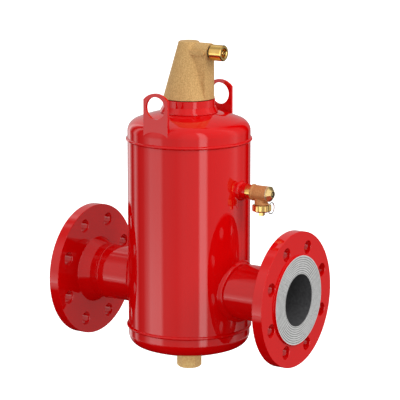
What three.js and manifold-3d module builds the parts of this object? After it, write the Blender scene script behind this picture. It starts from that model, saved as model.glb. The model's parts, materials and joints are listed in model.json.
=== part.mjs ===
// Flanged in-line air separator for heating and cooling water: a welded vessel with two
// weld-neck flanges, a float air vent on top, a skim cock on the side and a drain plug below.
// Millimetres, +Z up. The origin is where the pipe axis (X) crosses the vessel axis (Z).

import * as THREE from 'three';
import { mergeVertices } from 'three/addons/utils/BufferGeometryUtils.js';
import Module from 'manifold-3d';

const wasm = await Module();
wasm.setup();

// ---------------------------------------------------------------- driving dimensions

const GAP = 0.3;                       // clearance between pieces that touch
const EPS = 1;                         // how far a cutter runs past the face it cuts

const PIPE = { faceToFace: 350, outer: 38.05, wall: 2.9 };
const FLANGE = {
  outer: 92.5, rim: 15, raised: 61, raisedHeight: 3, boltCircle: 72.5, boltHole: 9, bolts: 8,
  hub: 46, hubEnd: 142, weldEnd: 132.5,
};
const VESSEL = { outer: 84.15, wall: 6.3, top: 203.7, bottom: -57 };
const HEAD = { straight: 10.8, knuckle: 16.8, crown: 200 };
const BEAD = { half: 2.3, proud: 2.5, pipeProud: 2 };
const FILLET = { nozzle: 5, socket: 3 };
const LUG = { y: 79.8, thick: 4, half: 19.4, top: 275, arc: 25.5, hole: 15, holeZ: 255.4 };
const NECK = { outer: 35.6, bore: 31, top: 258.5, weld: 40, weldHeight: 7.5 };
const PACKING = { outer: 23, wall: 1.5, height: 45, perLayer: 6, layers: 2 };
const BASKET = { outer: 73, floor: -50, plate: 2, bar: 1.5, bars: 10, height: 98, hoop: 3 };
const PLATE_HOLES = [
  { circle: 0, count: 1, hole: 9 }, { circle: 28, count: 6, hole: 9 },
  { circle: 56, count: 10, hole: 10 },
];

const VENT = {                         // heights above the neck's top face
  seal: 0.5, sealRadius: 33, base: 1.1, radius: 35.2, topRadius: 13.75, top: 78.8, wall: 3.5,
  shank: 14.5, shankBore: 27.5, cavityStep: 15, cavityTop: 73, dome: 1.2,
  slab: 12, pocketFloor: 10, bossRadius: 12.2, bossStart: 5, bossZ: 65.2, bossEnd: 35,
};
const VENT_PAD = { start: 9, end: 30, half: 3.5, depth: 6, proud: 4.4, drop: 0.7 };
const LEVER = { pivot: 26, pad: 13, tail: 16, z: 43, half: 3, thick: 2, pin: 1, pinHalf: 6.5 };
const VALVE_PAD = { radius: 2.5, shoulder: 2.8, top: 4 };
const SEAT = {                         // heights above the neck's top face
  low: 50.3, flange: 51.5, flangeTop: 52.7, nozzle: 2.5, flangeRadius: 5, stem: 4, bore: 1,
  passage: 3, riser: 2.5,
};
const BRACKET = { ear: 4.1, earHalf: 0.7, earReach: 3.5, low: 51.2, top: 52.7, half: 4.8, reach: 5 };
const SCREW = { low: 49.2, headTop: 50.9, top: 57, head: 2.6, radius: 1.5 };
const FLOAT = { radius: 25, low: -58.5, high: -8.5, corner: 4, rod: 2, foot: 6, tip: 0.4 };
const OUTLET = {
  radius: 10.9, start: 24, end: 56.4, shank: 6, recess: 5.8, depth: 7, nipple: 3, orifice: 1.25,
};

const COCK = {                         // skim cock on the X axis, heights from that axis
  z: 139.6, stub: 10.65, bore: 7.6, stubEnd: 94.4, neck: 9.9, collar: 11.3, collarStart: 102.2,
  collarEnd: 105.4, radius: 10.3, end: 126, shankStart: 88, seat: 107, chamber: 6.3,
  waterway: 4, branchX: 116.3,
};
const BRANCH = { mouth: 9.8, root: 6.8, rise: 11.3, lean: 4 };
const BONNET = {
  start: 127.8, rim: 1.2, end: 133.2, radius: 10.4, nose: 4.3, bore: 3.4, sides: 6, shank: 3,
  groove: 5, grooveStart: 127.4, grooveEnd: 129.9,
};
const SPINDLE = { radius: 2.7, square: 3.6, end: 132.6, foot: 4.5, footThick: 1.5, drive: 2.4 };
const WASHER = { radius: 5, thick: 2.2 };
const CAP = {
  top: -15.4, bottom: -24.7, lobe: 13, valley: 11.3, lobes: 6, bore: 7.7, floor: 2.2,
  key: 6.3, keyEnd: 5.8, keySocket: 3.9,
};
const RING = {                         // hangs through the cap's eye, sagging by 12 degrees
  radius: 7.6, wire: 0.8, eye: 17.5, z: -23.4, sag: Math.PI / 15, ear: 2.8, earHalf: 1.25,
  hole: 1.8,
};
const DRAIN = {
  socket: 15, bore: 10.7, shank: 10.4, inner: -80, seal: 1, flats: 30, bottom: -118.7,
};

const ROUND = { vessel: 32, flange: 28, pipe: 24, small: 16, tiny: 8 };

// ---------------------------------------------------------------- materials

const paint = (color, roughness, metalness) =>
  new THREE.MeshStandardMaterial({ color, roughness, metalness });

const MATERIAL = {
  redPaint: () => paint(0xc81e22, 0.15, 0.0),
  castBrass: () => paint(0xcfa565, 0.65, 0.6),
  polishedBrass: () => paint(0xd9a640, 0.2, 1.0),
  bronze: () => paint(0xb87c4c, 0.55, 0.7),
  stainless: () => paint(0xb5b8ba, 0.35, 1.0),
  plastic: () => paint(0xe8e4da, 0.5, 0.0),
  rubber: () => paint(0x1d1d1f, 0.8, 0.0),
  fibre: () => paint(0xcfcac0, 0.8, 0.0),
};

// ---------------------------------------------------------------- geometry helpers

// A closed three.js geometry as a solid that can be joined and cut.
function solid(geometry) {
  geometry.deleteAttribute('normal');
  geometry.deleteAttribute('uv');
  const merged = mergeVertices(geometry, 1e-4);
  const index = merged.index.array;
  const triangles = [];
  for (let i = 0; i < index.length; i += 3) {
    const [a, b, c] = [index[i], index[i + 1], index[i + 2]];
    if (a !== b && b !== c && c !== a) triangles.push(a, b, c);
  }
  return new wasm.Manifold(new wasm.Mesh({
    numProp: 3,
    vertProperties: new Float32Array(merged.attributes.position.array),
    triVerts: new Uint32Array(triangles),
  }));
}

function toGeometry(body) {
  const mesh = body.getMesh();
  const geometry = new THREE.BufferGeometry();
  geometry.setAttribute('position', new THREE.BufferAttribute(mesh.vertProperties, 3));
  geometry.setIndex(new THREE.BufferAttribute(mesh.triVerts, 1));
  geometry.computeVertexNormals();
  return geometry;
}

// Turning a solid about Z, or laying a Z-axis geometry along X.
const toZ = (geometry) => geometry.rotateX(Math.PI / 2);
const toX = (geometry) => geometry.rotateY(Math.PI / 2);
const polar = (radius, angle) => [radius * Math.cos(angle), radius * Math.sin(angle)];
const turns = (count) => Array.from({ length: count }, (_, i) => (2 * Math.PI * i) / count);

// A turned piece about Z from [radius, height] points; a profile off the axis is closed up.
function turned(points, segments) {
  const onAxis = points[0][0] === 0 && points.at(-1)[0] === 0;
  const profile = points.map(([r, z]) => new THREE.Vector2(r, z));
  if (THREE.ShapeUtils.isClockWise(profile)) profile.reverse();
  if (!onAxis) profile.push(profile[0].clone());
  return toZ(new THREE.LatheGeometry(profile, segments));
}

const rod = (radius, low, high, segments) =>
  turned([[0, low], [radius, low], [radius, high], [0, high]], segments);
const tube = (inner, outer, low, high, segments) =>
  turned([[inner, low], [outer, low], [outer, high], [inner, high]], segments);
const cone = (lowRadius, highRadius, low, high, segments) =>
  turned([[0, low], [lowRadius, low], [highRadius, high], [0, high]], segments);

function box([x0, x1], [y0, y1], [z0, z1]) {
  const geometry = new THREE.BoxGeometry(x1 - x0, y1 - y0, z1 - z0);
  return geometry.translate((x0 + x1) / 2, (y0 + y1) / 2, (z0 + z1) / 2);
}

const prism = (shape, low, high, curveSegments) =>
  new THREE.ExtrudeGeometry(shape, { depth: high - low, bevelEnabled: false, curveSegments })
    .translate(0, 0, low);

const cut = (body, ...cutters) => cutters.reduce((rest, tool) => rest.subtract(solid(tool)), body);
const join = (body, ...others) => others.reduce((whole, part) => whole.add(solid(part)), body);

function piece(name, body, material) {
  const mesh = new THREE.Mesh(toGeometry(body), material());
  mesh.name = name;
  return mesh;
}

function group(...members) {
  const assembly = new THREE.Group();
  assembly.add(...members);
  return assembly;
}

// ---------------------------------------------------------------- dished heads

// The torispherical curve from the rim to the radius `opening`, inset from the outer face.
function headCurve(inset, opening, knuckleSteps, crownSteps) {
  const knuckleCentre = VESSEL.outer - HEAD.knuckle;
  const tangent = Math.asin(knuckleCentre / (HEAD.crown - HEAD.knuckle));
  const crownZ = HEAD.straight - (HEAD.crown - HEAD.knuckle) * Math.cos(tangent);
  const knuckle = HEAD.knuckle - inset;
  const crown = HEAD.crown - inset;
  const last = Math.asin(opening / crown);
  const points = [[VESSEL.outer - inset, BEAD.half + GAP]];
  for (let i = 0; i <= knuckleSteps; i += 1) {
    const [r, z] = polar(knuckle, (i / knuckleSteps) * (Math.PI / 2 - tangent));
    points.push([knuckleCentre + r, HEAD.straight + z]);
  }
  for (let i = 1; i <= crownSteps; i += 1) {
    const [z, r] = polar(crown, tangent + (i / crownSteps) * (last - tangent));
    points.push([r, crownZ + z]);
  }
  return points;
}

const headHeight = (radius) => headCurve(0, radius, 1, 1).at(-1)[1];

const dishedHead = (opening) => turned(
  [...headCurve(0, opening, 4, 2), ...headCurve(VESSEL.wall, opening, 2, 1).reverse()],
  ROUND.vessel,
);

// The head and everything inside it, grown by the gap: what its outside attachments are cut by.
function headCutter() {
  const curve = headCurve(-GAP, 0, 5, 5);
  return turned([[0, -EPS], [curve[0][0], -EPS], ...curve], ROUND.vessel);
}

// ---------------------------------------------------------------- vessel

function girthWeld(name, z) {
  const inner = VESSEL.outer - VESSEL.wall;
  const { half, proud } = BEAD;
  const mesh = piece(name, solid(turned([
    [inner, -half], [VESSEL.outer, -half], [VESSEL.outer + proud, 0], [VESSEL.outer, half],
    [inner, half],
  ], ROUND.vessel)), MATERIAL.redPaint);
  mesh.position.z = z;
  return mesh;
}

function vesselShell() {
  const end = BEAD.half + GAP;
  const wall = tube(VESSEL.outer - VESSEL.wall, VESSEL.outer,
    VESSEL.bottom + end, VESSEL.top - end, ROUND.vessel);
  const waterway = toX(rod(PIPE.outer - PIPE.wall, -VESSEL.outer - EPS, VESSEL.outer + EPS,
    ROUND.pipe));
  const skimHole = toX(rod(COCK.bore, 0, VESSEL.outer + EPS, ROUND.small)).translate(0, 0, COCK.z);
  return piece('vessel_shell', cut(solid(wall), waterway, skimHole), MATERIAL.redPaint);
}

function heads() {
  const top = piece('top_head', solid(dishedHead(NECK.bore)), MATERIAL.redPaint);
  top.position.z = VESSEL.top;
  const bottom = piece('bottom_head', solid(dishedHead(DRAIN.socket + GAP)), MATERIAL.redPaint);
  bottom.rotation.x = Math.PI;
  bottom.position.z = VESSEL.bottom;
  return group(top, bottom);
}

function liftingLug(name, side) {
  const centreZ = LUG.top - LUG.arc;
  const corner = Math.asin(LUG.half / LUG.arc);
  const foot = VESSEL.top + BEAD.half + GAP;
  const outline = new THREE.Shape();
  outline.moveTo(-LUG.half, foot);
  outline.lineTo(LUG.half, foot);
  outline.absarc(0, centreZ, LUG.arc, Math.PI / 2 - corner, Math.PI / 2 + corner, false);
  outline.closePath();
  const eye = new THREE.Path();
  eye.absarc(0, LUG.holeZ, LUG.hole, 0, 2 * Math.PI, true);
  outline.holes.push(eye);
  const plate = prism(outline, -LUG.thick / 2, LUG.thick / 2, 10).rotateX(Math.PI / 2);
  plate.translate(0, side * LUG.y, 0);
  const body = cut(solid(plate), headCutter().translate(0, 0, VESSEL.top));
  return piece(name, body, MATERIAL.redPaint);
}

function ventNeck() {
  const inner = headHeight(NECK.bore) + VESSEL.top + GAP;
  const outer = headHeight(NECK.outer) + VESSEL.top + GAP;
  const edge = headHeight(NECK.weld) + VESSEL.top + GAP;
  const neck = turned([
    [NECK.bore, inner], [NECK.outer, outer], [NECK.outer, NECK.top], [NECK.bore, NECK.top],
  ], ROUND.vessel);
  const fillet = turned([
    [NECK.outer + GAP, outer], [NECK.weld, edge], [NECK.weld - 0.6, edge + NECK.weldHeight / 3],
    [NECK.outer + GAP, edge + NECK.weldHeight],
  ], ROUND.vessel);
  return group(
    piece('vent_neck', solid(neck), MATERIAL.redPaint),
    piece('vent_neck_weld', solid(fillet), MATERIAL.redPaint),
  );
}

// ---------------------------------------------------------------- nozzles and flanges

// One pipe connection along +X; the inlet is the same assembly turned half round.
function connection(side) {
  const face = PIPE.faceToFace / 2;
  const shoulder = face - FLANGE.raisedHeight;
  const back = shoulder - FLANGE.rim;
  const bore = PIPE.outer - PIPE.wall;
  const flange = turned([
    [bore, FLANGE.weldEnd], [PIPE.outer, FLANGE.weldEnd], [PIPE.outer, FLANGE.hubEnd],
    [FLANGE.hub, back], [FLANGE.outer, back], [FLANGE.outer, shoulder],
    [FLANGE.raised, shoulder], [FLANGE.raised, face], [bore, face],
  ], ROUND.flange);
  const boltHoles = turns(FLANGE.bolts).map((angle) => {
    const [y, z] = polar(FLANGE.boltCircle, angle + Math.PI / FLANGE.bolts);
    return toX(rod(FLANGE.boltHole, back - EPS, shoulder + EPS, ROUND.tiny)).translate(0, y, z);
  });
  const shellCutter = rod(VESSEL.outer + GAP, -VESSEL.outer, VESSEL.outer, ROUND.vessel);
  const weldRoot = FLANGE.weldEnd - GAP;
  const pipeEnd = weldRoot - 2 * BEAD.half - GAP;
  const pipe = toX(tube(bore, PIPE.outer, 0, pipeEnd, ROUND.pipe));
  const filletEnd = VESSEL.outer + FILLET.nozzle;
  const collar = toX(tube(PIPE.outer + GAP, PIPE.outer + FILLET.nozzle, 0, filletEnd, ROUND.pipe));
  const collarLimit = rod(filletEnd, -VESSEL.outer, VESSEL.outer, ROUND.vessel);
  const flangeWeld = turned([
    [bore, pipeEnd + GAP], [PIPE.outer, pipeEnd + GAP],
    [PIPE.outer + BEAD.pipeProud, weldRoot - BEAD.half], [PIPE.outer, weldRoot], [bore, weldRoot],
  ], ROUND.pipe);
  const far = FLANGE.outer;
  const half = (body) => body.intersect(solid(box([0, face], [-far, far], [-far, far])));
  return group(
    piece(`${side}_flange`, cut(solid(toX(flange)), ...boltHoles), MATERIAL.redPaint),
    piece(`${side}_flange_weld`, solid(toX(flangeWeld)), MATERIAL.redPaint),
    piece(`${side}_nozzle`, half(cut(solid(pipe), shellCutter)), MATERIAL.redPaint),
    piece(`${side}_nozzle_weld`,
      half(cut(solid(collar).intersect(solid(collarLimit)), shellCutter)), MATERIAL.redPaint),
  );
}

// ---------------------------------------------------------------- packing inside the vessel

// A plate with rings of six-sided holes that let the water through and hold the packing.
function perforatedPlate(radius, low, high) {
  const holes = [];
  PLATE_HOLES.forEach(({ circle, count, hole }) => {
    turns(count).forEach((angle) => {
      const [x, y] = polar(circle, angle);
      holes.push(rod(hole, low - EPS, high + EPS, 6).translate(x, y, 0));
    });
  });
  return cut(solid(rod(radius, low, high, ROUND.vessel)), ...holes);
}

function packingBasket() {
  const { outer, floor, plate, bar, bars, height, hoop } = BASKET;
  const bearing = outer - bar;
  const uprights = turns(bars).map((angle) => {
    const [x, y] = polar(bearing - bar, angle + Math.PI / bars);
    return rod(bar, floor + plate / 2, floor + height - hoop / 2, 4).translate(x, y, 0);
  });
  const band = tube(outer - 4 * bar, outer, floor + height - hoop, floor + height, ROUND.vessel);
  const basket = join(perforatedPlate(outer, floor, floor + plate), band, ...uprights);
  const lid = perforatedPlate(outer, floor + height + GAP, floor + height + GAP + plate);
  return group(
    piece('packing_basket', basket, MATERIAL.stainless),
    piece('basket_lid', lid, MATERIAL.stainless),
  );
}

function packingRings() {
  const { outer, wall, height, perLayer, layers } = PACKING;
  const pitch = 2 * outer + GAP;
  const places = [[0, 0], ...turns(perLayer).map((angle) => polar(pitch, angle))];
  const rings = new THREE.Group();
  for (let layer = 0; layer < layers; layer += 1) {
    const low = BASKET.floor + BASKET.plate + GAP + layer * (height + GAP);
    places.forEach(([x, y], i) => {
      const number = String(layer * places.length + i + 1).padStart(2, '0');
      const mesh = piece(`packing_ring_${number}`,
        solid(tube(outer - wall, outer, 0, height, ROUND.tiny)), MATERIAL.stainless);
      mesh.position.set(x, y, low);
      rings.add(mesh);
    });
  }
  return rings;
}

// ---------------------------------------------------------------- air vent

const ventRadius = (z) => VENT.radius + (VENT.topRadius - VENT.radius) * (z / VENT.top);

// Cast body: a cone with a flat-sided pillar towards +X and a round boss along X on top of it.
function ventBody() {
  const { wall, slab, bossZ, bossRadius, bossEnd, shank, shankBore, base, cavityTop } = VENT;
  const shellTop = VENT.top - VENT.dome;
  const mouth = NECK.bore - GAP;
  const cast = solid(turned([
    [0, -shank], [mouth, -shank], [mouth, base], [VENT.radius, base],
    [ventRadius(shellTop), shellTop], [0.8 * VENT.topRadius, VENT.top - VENT.dome / 4],
    [0, VENT.top],
  ], ROUND.pipe));
  const pillar = solid(box([0, VENT.radius + EPS], [-slab, slab], [base, bossZ]))
    .intersect(solid(rod(VENT.radius, base, bossZ, ROUND.pipe)));
  const cavity = turned([
    [0, -shank - EPS], [shankBore, -shank - EPS], [shankBore, VENT.cavityStep],
    [ventRadius(cavityTop) - wall, cavityTop], [0, cavityTop],
  ], ROUND.pipe);
  const underBoss = bossZ - bossRadius;
  const pocket = box([0, VENT.radius - wall], [wall - slab, slab - wall],
    [VENT.pocketFloor, underBoss]);
  const boss = toX(rod(bossRadius, VENT.bossStart, bossEnd, ROUND.small)).translate(0, 0, bossZ);
  const hollow = cut(cast.add(pillar), cavity, pocket);
  const seatHole = rod(SEAT.stem + GAP, underBoss - EPS, bossZ - SEAT.stem, ROUND.tiny)
    .translate(LEVER.pad, 0, 0);
  const riser = rod(SEAT.riser, bossZ - SEAT.flangeRadius, bossZ, ROUND.tiny)
    .translate(LEVER.pad, 0, 0);
  const passage = toX(rod(SEAT.passage, LEVER.pad - 2, bossEnd, ROUND.tiny))
    .translate(0, 0, bossZ);
  const socket = toX(rod(OUTLET.shank + GAP, OUTLET.start, bossEnd + EPS, ROUND.small))
    .translate(0, 0, bossZ);
  const screwHole = rod(SCREW.radius + GAP, underBoss - EPS, SCREW.top + 2 * GAP, ROUND.tiny)
    .translate(LEVER.pivot, 0, 0);
  return piece('vent_body', cut(join(hollow, boss, ventPad()), seatHole, riser, passage,
    socket, screwHole), MATERIAL.castBrass);
}

// The raised pad on the pillar's front, with a round end below the outlet.
function ventPad() {
  const { start, end, half, depth, proud, drop } = VENT_PAD;
  const outline = new THREE.Shape();
  outline.moveTo(start, -half);
  outline.lineTo(end, -half);
  outline.absarc(end, 0, half, -Math.PI / 2, Math.PI / 2, false);
  outline.lineTo(start, half);
  outline.closePath();
  return prism(outline, 0, depth, 6).rotateX(Math.PI / 2)
    .translate(0, proud - VENT.slab, VENT.bossZ - drop);
}

const acrossY = (geometry, x, z) => geometry.rotateX(Math.PI / 2).translate(x, 0, z);

function valveSeat() {
  const { low, flange, flangeTop, nozzle, flangeRadius, stem, bore } = SEAT;
  const top = VENT.bossZ - stem - GAP;
  return solid(turned([
    [bore, low], [nozzle, low], [nozzle, flange], [flangeRadius, flange],
    [flangeRadius, flangeTop], [stem, flangeTop], [stem, top], [bore, top],
  ], ROUND.tiny).translate(LEVER.pad, 0, 0));
}

// The float's lever with its rubber pad, and the bracket, pin and screw that carry it.
function ventLever() {
  const { pivot, pad, tail, z, half, thick, pin, pinHalf } = LEVER;
  const { ear, earHalf, earReach, low, top, reach } = BRACKET;
  const bar = box([pad - tail, pivot], [-half, half], [z - thick / 2, z + thick / 2]);
  const knuckle = acrossY(rod(half, -half, half, ROUND.small), pivot, z);
  const eye = () => acrossY(rod(pin + GAP, -2 * half, 2 * half, ROUND.tiny), pivot, z);
  const padFoot = thick / 2 + GAP;
  const dome = turned([
    [0, padFoot], [VALVE_PAD.radius, padFoot], [VALVE_PAD.radius - 0.2, VALVE_PAD.shoulder],
    [VALVE_PAD.radius / 2, VALVE_PAD.top - GAP], [0, VALVE_PAD.top],
  ], ROUND.tiny).translate(pad, 0, z);
  const ears = [-1, 1].map((side) => box([pivot - earReach, pivot + earReach],
    [side * ear - earHalf, side * ear + earHalf], [z - half, top - GAP]));
  const bridge = box([pivot - reach, pivot + reach - GAP], [-BRACKET.half, BRACKET.half],
    [low, top]);
  const bracketHole = rod(SCREW.radius + GAP, low - EPS, top + EPS, ROUND.tiny)
    .translate(pivot, 0, 0);
  const screw = turned([
    [0, SCREW.low], [SCREW.head, SCREW.low], [SCREW.head, SCREW.headTop],
    [SCREW.radius, SCREW.headTop], [SCREW.radius, SCREW.top], [0, SCREW.top],
  ], ROUND.tiny).translate(pivot, 0, 0);
  const pinRod = acrossY(rod(pin, -pinHalf, pinHalf, ROUND.tiny), pivot, z);
  return group(
    piece('float_lever', cut(join(solid(bar), knuckle), eye()), MATERIAL.stainless),
    piece('valve_pad', solid(dome), MATERIAL.rubber),
    piece('lever_bracket', cut(join(solid(bridge), ...ears), bracketHole, eye()),
      MATERIAL.stainless),
    piece('bracket_screw', solid(screw), MATERIAL.stainless),
    piece('lever_pin', solid(pinRod), MATERIAL.stainless),
  );
}

function ventFloat() {
  const { radius, low, high, corner, foot, rod: stemRadius } = FLOAT;
  const tip = LEVER.z - LEVER.thick / 2 - GAP;
  const body = turned([
    [0, low], [radius - corner, low], [radius, low + corner], [radius, high - corner],
    [radius - corner, high], [0, high],
  ], ROUND.small);
  const stem = turned([
    [0, high + GAP], [foot, high + GAP], [foot, high + stemRadius],
    [stemRadius, high + 2 * stemRadius], [stemRadius, tip - stemRadius + FLOAT.tip],
    [FLOAT.tip, tip], [0, tip],
  ], ROUND.tiny);
  return group(
    piece('vent_float', solid(body), MATERIAL.plastic),
    piece('float_rod', solid(stem), MATERIAL.stainless),
  );
}

// Turned outlet fitting along X: shank, sealing washer, barrel with a recess, and its nipple.
function ventOutlet() {
  const { radius, end, shank, recess, depth, nipple, orifice } = OUTLET;
  const start = VENT.bossEnd;
  const floor = end - depth;
  const barrel = turned([
    [orifice, OUTLET.start + GAP], [shank, OUTLET.start + GAP], [shank, start + 2],
    [radius - 1.6, start + 2],
    [radius - 1.6, start + 3], [radius, start + 3.6], [radius, end - 1], [radius - 1, end],
    [recess + 1, end], [recess, end - 1], [recess, floor], [orifice, floor],
  ], ROUND.small);
  const washer = tube(shank + GAP, radius - 2, start + GAP, start + 2 - GAP, ROUND.small);
  const tip = turned([
    [orifice, floor + GAP], [nipple + 1.4, floor + GAP], [nipple + 1.4, floor + 1.6],
    [nipple, floor + 1.6], [nipple, end - 1.6], [orifice, end - 1.6],
  ], ROUND.tiny);
  const fitting = group(
    piece('vent_outlet', solid(toX(barrel)), MATERIAL.polishedBrass),
    piece('outlet_washer', solid(toX(washer)), MATERIAL.rubber),
    piece('outlet_nipple', solid(toX(tip)), MATERIAL.polishedBrass),
  );
  fitting.position.z = VENT.bossZ;
  return fitting;
}

function airVent() {
  const seal = tube(NECK.bore + GAP, VENT.sealRadius, GAP, GAP + VENT.seal, ROUND.pipe);
  const vent = group(
    piece('vent_seal', solid(seal), MATERIAL.rubber),
    piece('valve_seat', valveSeat(), MATERIAL.polishedBrass),
    ventBody(), ventLever(), ventFloat(), ventOutlet(),
  );
  vent.position.z = NECK.top;
  return vent;
}

// ---------------------------------------------------------------- skim cock

function skimSocket() {
  const { bore, stub, stubEnd } = COCK;
  const start = VESSEL.outer - 3 * FILLET.socket;
  const reach = 3 * stub;
  const shellCutter = rod(VESSEL.outer + GAP, -reach, reach, ROUND.vessel);
  const filletEnd = VESSEL.outer + FILLET.socket;
  const socket = toX(tube(bore, stub, start, stubEnd, ROUND.small));
  const fillet = toX(tube(stub + GAP, stub + FILLET.socket, start, filletEnd, ROUND.small));
  const limit = rod(filletEnd, -reach, reach, ROUND.vessel);
  return group(
    piece('skim_socket', cut(solid(socket), shellCutter), MATERIAL.redPaint),
    piece('skim_socket_weld', cut(solid(fillet).intersect(solid(limit)), shellCutter),
      MATERIAL.redPaint),
  );
}

function cockBody() {
  const { bore, stubEnd, neck, collar, collarStart, collarEnd, radius, end } = COCK;
  const { shankStart, seat, chamber, waterway, branchX } = COCK;
  const shank = bore - GAP;
  const barrel = toX(turned([
    [0, shankStart], [shank, shankStart], [shank, stubEnd + GAP], [neck, stubEnd + GAP],
    [neck, collarStart], [collar, collarStart], [collar, collarEnd - 1], [radius, collarEnd],
    [radius, end], [0, end],
  ], ROUND.small));
  const outletEnd = rod(CAP.bore - GAP, CAP.bottom + 3.5, CAP.top + 2 * GAP, ROUND.small)
    .translate(branchX, 0, 0);
  const { mouth, root, rise, lean } = BRANCH;
  const shear = new THREE.Matrix4().makeShear(0, 0, 0, 0, -lean / rise, 0);
  const branch = cone(mouth, root, 0, rise, ROUND.small).applyMatrix4(shear)
    .translate(branchX, 0, CAP.top + GAP);
  return cut(join(solid(barrel), branch, outletEnd),
    toX(rod(waterway, shankStart - EPS, seat + EPS, ROUND.tiny)),
    toX(rod(chamber, seat, end + EPS, ROUND.small)),
    rod(waterway, CAP.bottom, 0, ROUND.tiny).translate(branchX, 0, 0));
}

// Screwed bonnet: a round rim with a blunt cone of flat facets, and a groove for the O-ring.
function cockBonnet() {
  const { start, rim, end, radius, nose, bore, sides, groove } = BONNET;
  const shankEnd = start - BONNET.shank;
  const facets = cone(radius, nose, start + rim, end, sides).rotateZ(Math.PI / sides);
  const skirt = rod(radius - 0.4, start, start + rim + GAP, ROUND.small);
  const shank = rod(COCK.chamber - GAP, shankEnd, start + EPS, ROUND.small);
  const passage = rod(bore, shankEnd - EPS, end + EPS, ROUND.tiny);
  const seal = rod(groove, BONNET.grooveStart, BONNET.grooveEnd, ROUND.tiny);
  return cut(join(solid(toX(facets)), toX(skirt), toX(shank)), toX(passage), toX(seal));
}

function cockSpindle() {
  const { radius, square, end, foot, footThick, drive } = SPINDLE;
  const start = COCK.seat + 2 * GAP + WASHER.thick;
  const stem = toX(turned([
    [0, start], [foot, start], [foot, start + footThick], [radius, start + footThick],
    [radius, end - drive], [0, end - drive],
  ], ROUND.tiny));
  const half = square / 2;
  return join(solid(stem), box([end - drive - EPS, end], [-half, half], [-half, half]));
}

function skimCock() {
  const { chamber, radius, end, seat } = COCK;
  const gasket = tube(chamber + GAP, radius - 0.2, end + GAP, BONNET.start - GAP, ROUND.small);
  const oring = tube(SPINDLE.radius + 2 * GAP, BONNET.groove - GAP, BONNET.grooveStart + GAP,
    BONNET.grooveEnd - GAP, ROUND.tiny);
  const washer = rod(WASHER.radius, seat + GAP, seat + GAP + WASHER.thick, ROUND.tiny);
  const cock = group(
    skimSocket(),
    piece('cock_body', cockBody(), MATERIAL.bronze),
    piece('cock_gasket', solid(toX(gasket)), MATERIAL.fibre),
    piece('cock_bonnet', cockBonnet(), MATERIAL.polishedBrass),
    piece('spindle_oring', solid(toX(oring)), MATERIAL.rubber),
    piece('cock_spindle', cockSpindle(), MATERIAL.polishedBrass),
    piece('cock_washer', solid(toX(washer)), MATERIAL.rubber),
    hoseCap(),
  );
  cock.position.z = COCK.z;
  return cock;
}

// Lobed screw cap below the cock, with a square key on its end and an eye for a wire ring.
function hoseCap() {
  const { top, bottom, lobe, valley, lobes, bore, floor, key, keyEnd } = CAP;
  const { eye, ear, earHalf, hole } = RING;
  const outline = new THREE.Shape();
  turns(8 * lobes).forEach((angle, i) => {
    const mean = (lobe + valley) / 2;
    const wave = -Math.cos(lobes * angle);
    const [x, y] = polar(mean + ((lobe - valley) / 2) * wave, angle);
    if (i === 0) outline.moveTo(x, y);
    else outline.lineTo(x, y);
  });
  outline.closePath();
  const half = key / 2;
  const keyBlock = box([-half, half], [-half, half], [bottom - keyEnd, bottom + EPS]);
  const inner = CAP.keySocket / 2;
  const keySocket = box([-inner, inner], [-inner, inner], [bottom - keyEnd - EPS, bottom - EPS]);
  const inside = rod(bore, bottom + floor, top + EPS, ROUND.small);
  const earBlock = box([-ear, ear], [valley - 2, eye], [RING.z - earHalf, RING.z + earHalf]);
  const earEnd = rod(ear, RING.z - earHalf, RING.z + earHalf, ROUND.tiny).translate(0, eye, 0);
  const eyeHole = rod(hole, bottom - EPS, top + EPS, ROUND.tiny).translate(0, eye, 0);
  const cap = cut(join(solid(prism(outline, bottom, top, 1)), keyBlock, earBlock, earEnd),
    keySocket, inside, eyeHole);
  const washer = rod(bore - 2 * GAP, bottom + floor + GAP, bottom + floor + 1, ROUND.small);
  const [out, down] = polar(RING.radius, RING.sag);
  const wire = toX(new THREE.TorusGeometry(RING.radius, RING.wire, 6, 20))
    .translate(0, eye + out, RING.z - down);
  const assembly = group(
    piece('hose_cap', cap, MATERIAL.polishedBrass),
    piece('cap_washer', solid(washer), MATERIAL.rubber),
    piece('cap_ring', solid(wire), MATERIAL.stainless),
  );
  assembly.position.x = COCK.branchX;
  return assembly;
}

// ---------------------------------------------------------------- drain

function drain() {
  const { socket, bore, shank, inner, flats, bottom } = DRAIN;
  const face = VESSEL.bottom - headHeight(socket);
  const boss = tube(bore, socket, face, inner, ROUND.small);
  const sealLow = face - GAP - DRAIN.seal;
  const seal = tube(shank + GAP, socket - EPS, sealLow, face - GAP, ROUND.small);
  const hexTop = sealLow - GAP;
  const hex = rod(flats / Math.sqrt(3), bottom, hexTop, 6);
  const thread = rod(shank, hexTop - EPS, inner - 3, ROUND.small);
  return group(
    piece('drain_socket', solid(boss), MATERIAL.redPaint),
    piece('drain_seal', solid(seal), MATERIAL.rubber),
    piece('drain_plug', join(solid(hex), thread), MATERIAL.castBrass),
  );
}

// ---------------------------------------------------------------- assembly

const inlet = connection('inlet');
inlet.rotation.z = Math.PI;

const separator = group(
  vesselShell(), heads(),
  girthWeld('top_girth_weld', VESSEL.top), girthWeld('bottom_girth_weld', VESSEL.bottom),
  inlet, connection('outlet'),
  liftingLug('lifting_lug_front', -1), liftingLug('lifting_lug_back', 1),
  packingBasket(), packingRings(),
  ventNeck(), airVent(), skimCock(), drain(),
);

export default separator;
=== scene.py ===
"""Looks for the flanged air separator: fine meshes and procedural materials on the CAD frame.

Every piece is built in millimetres in the frame's axes (X along the pipe, Z up) and scaled to
metres when it is finished.  Places and outer sizes come from the CAD nodes' boxes; walls, bores,
chamfers and other inner sizes are named here.
"""

import json
import math

import bmesh
import bpy
from mathutils import Matrix, Vector, noise


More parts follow.
